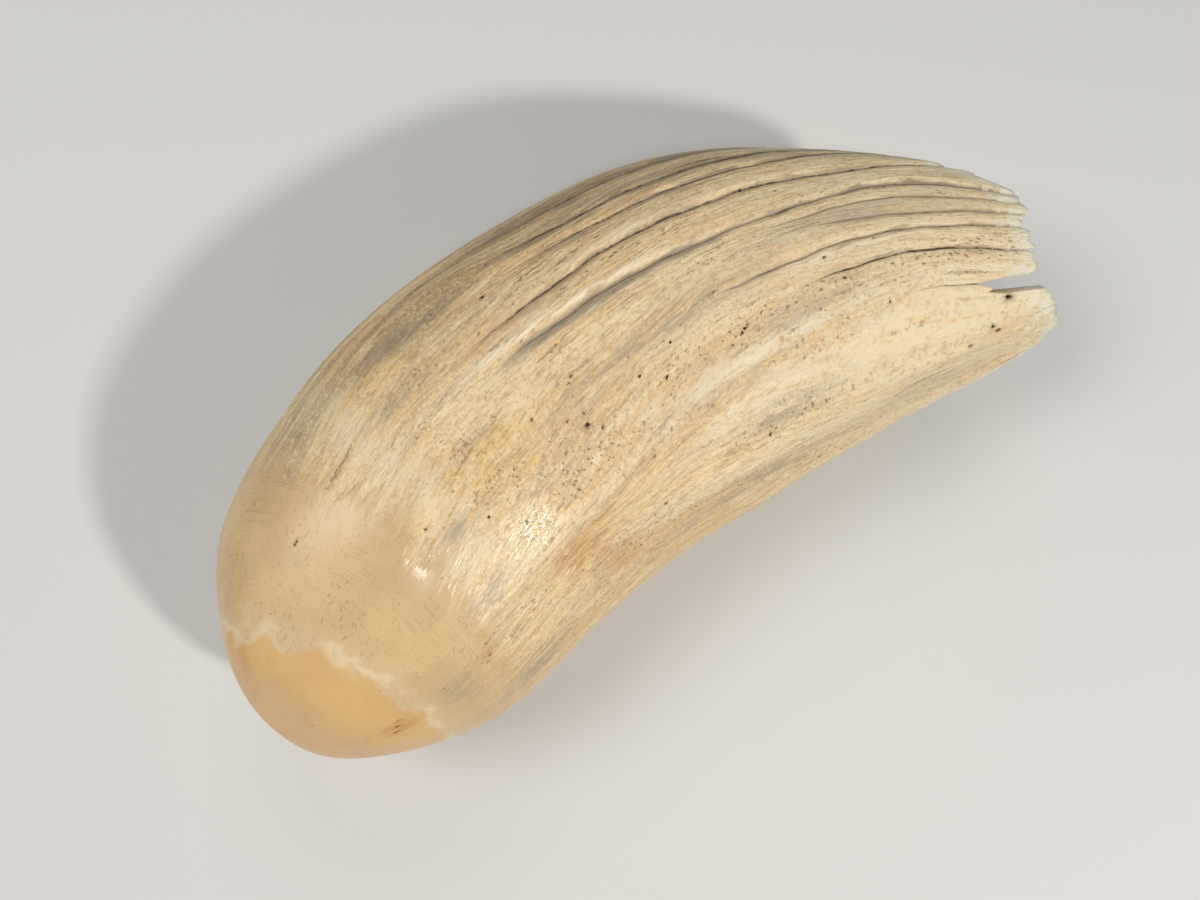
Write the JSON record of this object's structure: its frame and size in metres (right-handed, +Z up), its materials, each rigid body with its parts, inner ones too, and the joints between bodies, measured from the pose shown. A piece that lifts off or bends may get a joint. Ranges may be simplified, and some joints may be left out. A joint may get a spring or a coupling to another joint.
{
  "type": "sperm whale tooth",
  "caption": "Curved, worn sperm whale tooth with a rounded crown, grooved body, split root and open pulp cavity, lying on its side.",
  "frame": {"origin": "middle of the bounding box's bottom, on the surface that the tooth lies on", "axes": "+X from the worn crown to the root, +Z up from the surface, +Y towards the convex side"},
  "size_m": [0.1629, 0.0778, 0.0528],
  "materials": {
    "ivory": "cream ivory, polished and worn at the crown, satin and grooved towards the root"
  },
  "bodies": {
    "root": {"tooth": "ivory"}
  },
  "joints": []
}
